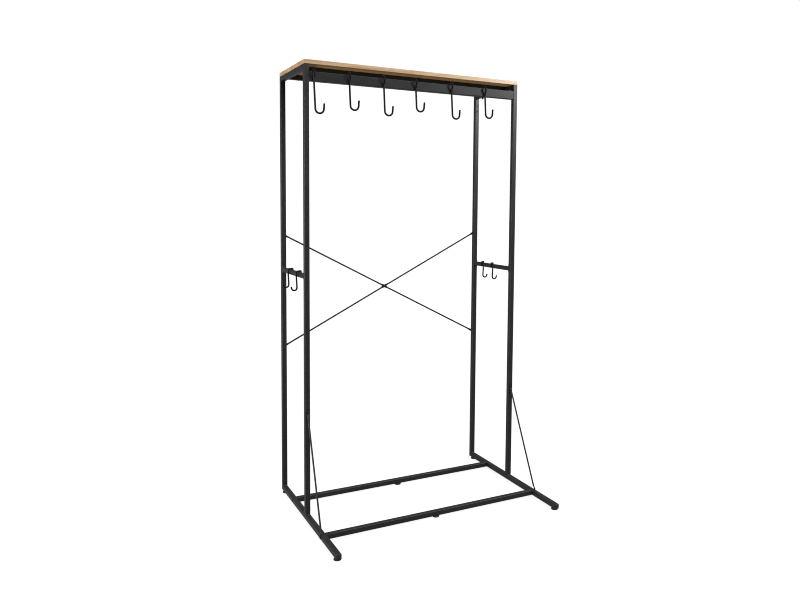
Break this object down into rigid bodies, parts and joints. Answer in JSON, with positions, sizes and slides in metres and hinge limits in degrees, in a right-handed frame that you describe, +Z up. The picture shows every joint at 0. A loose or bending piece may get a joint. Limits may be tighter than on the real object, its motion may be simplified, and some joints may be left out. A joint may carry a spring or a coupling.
{
  "type": "bike rack",
  "caption": "Freestanding rack that hangs bikes upright by a wheel: black square-tube frame, wooden top board, sliding J-hooks on a front rail, small hooks on side rails, X-brace and glides.",
  "frame": {"origin": "on the floor, under the centre of the whole footprint", "axes": "+X to the right seen from the front, +Y from the front (the side the hook rail is on) to the back, +Z up"},
  "size_m": [1.1314, 0.8044, 2],
  "materials": {
    "frame_metal": "satin black powder coat with a fine orange-peel texture",
    "hook_metal": "satin black coated round rod",
    "bolt_metal": "black zinc-plated steel, semi-gloss",
    "board_wood": "light oak with a matt clear finish",
    "plastic": "matt black moulded end caps",
    "glide_plastic": "matt black moulded glides"
  },
  "bodies": {
    "rack": {"left_front_upright": "frame_metal", "left_rear_upright": "frame_metal", "left_rear_upright_top": "frame_metal", "left_joint_sleeve": "frame_metal", "left_top_rail": "frame_metal", "left_side_rail": "frame_metal", "left_foot_rail": "frame_metal", "left_foot_brace": "frame_metal", "right_front_upright": "frame_metal", "right_rear_upright": "frame_metal", "right_rear_upright_top": "frame_metal", "right_joint_sleeve": "frame_metal", "right_top_rail": "frame_metal", "right_side_rail": "frame_metal", "right_foot_rail": "frame_metal", "right_foot_brace": "frame_metal", "front_board_support": "frame_metal", "rear_board_support": "frame_metal", "hook_rail": "frame_metal", "front_cross_bar": "frame_metal", "rear_cross_bar": "frame_metal", "cross_brace_rod_1": "frame_metal", "cross_brace_rod_2": "frame_metal", "top_board": "board_wood", "left_foot_cap_front": "plastic", "left_foot_cap_rear": "plastic", "right_foot_cap_front": "plastic", "right_foot_cap_rear": "plastic", "left_cross_brace_bolt_upper": "bolt_metal", "left_cross_brace_bolt_lower": "bolt_metal", "left_joint_bolt_1": "bolt_metal", "left_joint_bolt_2": "bolt_metal", "left_foot_brace_bolt_upper": "bolt_metal", "left_foot_brace_bolt_lower": "bolt_metal", "left_rear_bar_bolt": "bolt_metal", "right_cross_brace_bolt_upper": "bolt_metal", "right_cross_brace_bolt_lower": "bolt_metal", "right_joint_bolt_1": "bolt_metal", "right_joint_bolt_2": "bolt_metal", "right_foot_brace_bolt_upper": "bolt_metal", "right_foot_brace_bolt_lower": "bolt_metal", "right_rear_bar_bolt": "bolt_metal", "cross_brace_centre_bolt": "bolt_metal", "cross_brace_centre_nut": "bolt_metal"},
    "bike_hook_1_body": {"bike_hook_1": "hook_metal"},
    "bike_hook_2_body": {"bike_hook_2": "hook_metal"},
    "bike_hook_3_body": {"bike_hook_3": "hook_metal"},
    "bike_hook_4_body": {"bike_hook_4": "hook_metal"},
    "bike_hook_5_body": {"bike_hook_5": "hook_metal"},
    "bike_hook_6_body": {"bike_hook_6": "hook_metal"},
    "accessory_hook_1_body": {"accessory_hook_1": "hook_metal"},
    "accessory_hook_2_body": {"accessory_hook_2": "hook_metal"},
    "accessory_hook_3_body": {"accessory_hook_3": "hook_metal"},
    "accessory_hook_4_body": {"accessory_hook_4": "hook_metal"},
    "left_front_glide_body": {"left_front_glide": "glide_plastic"},
    "left_rear_glide_body": {"left_rear_glide": "glide_plastic"},
    "right_front_glide_body": {"right_front_glide": "glide_plastic"},
    "right_rear_glide_body": {"right_rear_glide": "glide_plastic"},
    "front_bar_glide_body": {"front_bar_glide": "glide_plastic"},
    "rear_bar_glide_body": {"rear_bar_glide": "glide_plastic"}
  },
  "joints": [
    {"name": "bike_hook_1_slide", "type": "slide", "parent": "rack", "child": "bike_hook_1_body", "axis": [1, 0, 0], "range_m": [-0.012, 0.05]},
    {"name": "bike_hook_2_slide", "type": "slide", "parent": "rack", "child": "bike_hook_2_body", "axis": [1, 0, 0], "range_m": [-0.048, 0.048]},
    {"name": "bike_hook_3_slide", "type": "slide", "parent": "rack", "child": "bike_hook_3_body", "axis": [1, 0, 0], "range_m": [-0.048, 0.048]},
    {"name": "bike_hook_4_slide", "type": "slide", "parent": "rack", "child": "bike_hook_4_body", "axis": [1, 0, 0], "range_m": [-0.048, 0.048]},
    {"name": "bike_hook_5_slide", "type": "slide", "parent": "rack", "child": "bike_hook_5_body", "axis": [1, 0, 0], "range_m": [-0.048, 0.048]},
    {"name": "bike_hook_6_slide", "type": "slide", "parent": "rack", "child": "bike_hook_6_body", "axis": [1, 0, 0], "range_m": [-0.05, 0.11]},
    {"name": "accessory_hook_1_slide", "type": "slide", "parent": "rack", "child": "accessory_hook_1_body", "axis": [0, 1, 0], "range_m": [-0.078, 0.04]},
    {"name": "accessory_hook_2_slide", "type": "slide", "parent": "rack", "child": "accessory_hook_2_body", "axis": [0, 1, 0], "range_m": [-0.04, 0.088]},
    {"name": "accessory_hook_3_slide", "type": "slide", "parent": "rack", "child": "accessory_hook_3_body", "axis": [0, 1, 0], "range_m": [-0.15, 0.029]},
    {"name": "accessory_hook_4_slide", "type": "slide", "parent": "rack", "child": "accessory_hook_4_body", "axis": [0, 1, 0], "range_m": [-0.029, 0.05]},
    {"name": "left_front_glide_screw", "type": "slide", "parent": "rack", "child": "left_front_glide_body", "axis": [0, 0, -1], "range_m": [0, 0.01]},
    {"name": "left_rear_glide_screw", "type": "slide", "parent": "rack", "child": "left_rear_glide_body", "axis": [0, 0, -1], "range_m": [0, 0.01]},
    {"name": "right_front_glide_screw", "type": "slide", "parent": "rack", "child": "right_front_glide_body", "axis": [0, 0, -1], "range_m": [0, 0.01]},
    {"name": "right_rear_glide_screw", "type": "slide", "parent": "rack", "child": "right_rear_glide_body", "axis": [0, 0, -1], "range_m": [0, 0.01]},
    {"name": "front_bar_glide_screw", "type": "slide", "parent": "rack", "child": "front_bar_glide_body", "axis": [0, 0, -1], "range_m": [0, 0.01]},
    {"name": "rear_bar_glide_screw", "type": "slide", "parent": "rack", "child": "rear_bar_glide_body", "axis": [0, 0, -1], "range_m": [0, 0.01]}
  ]
}
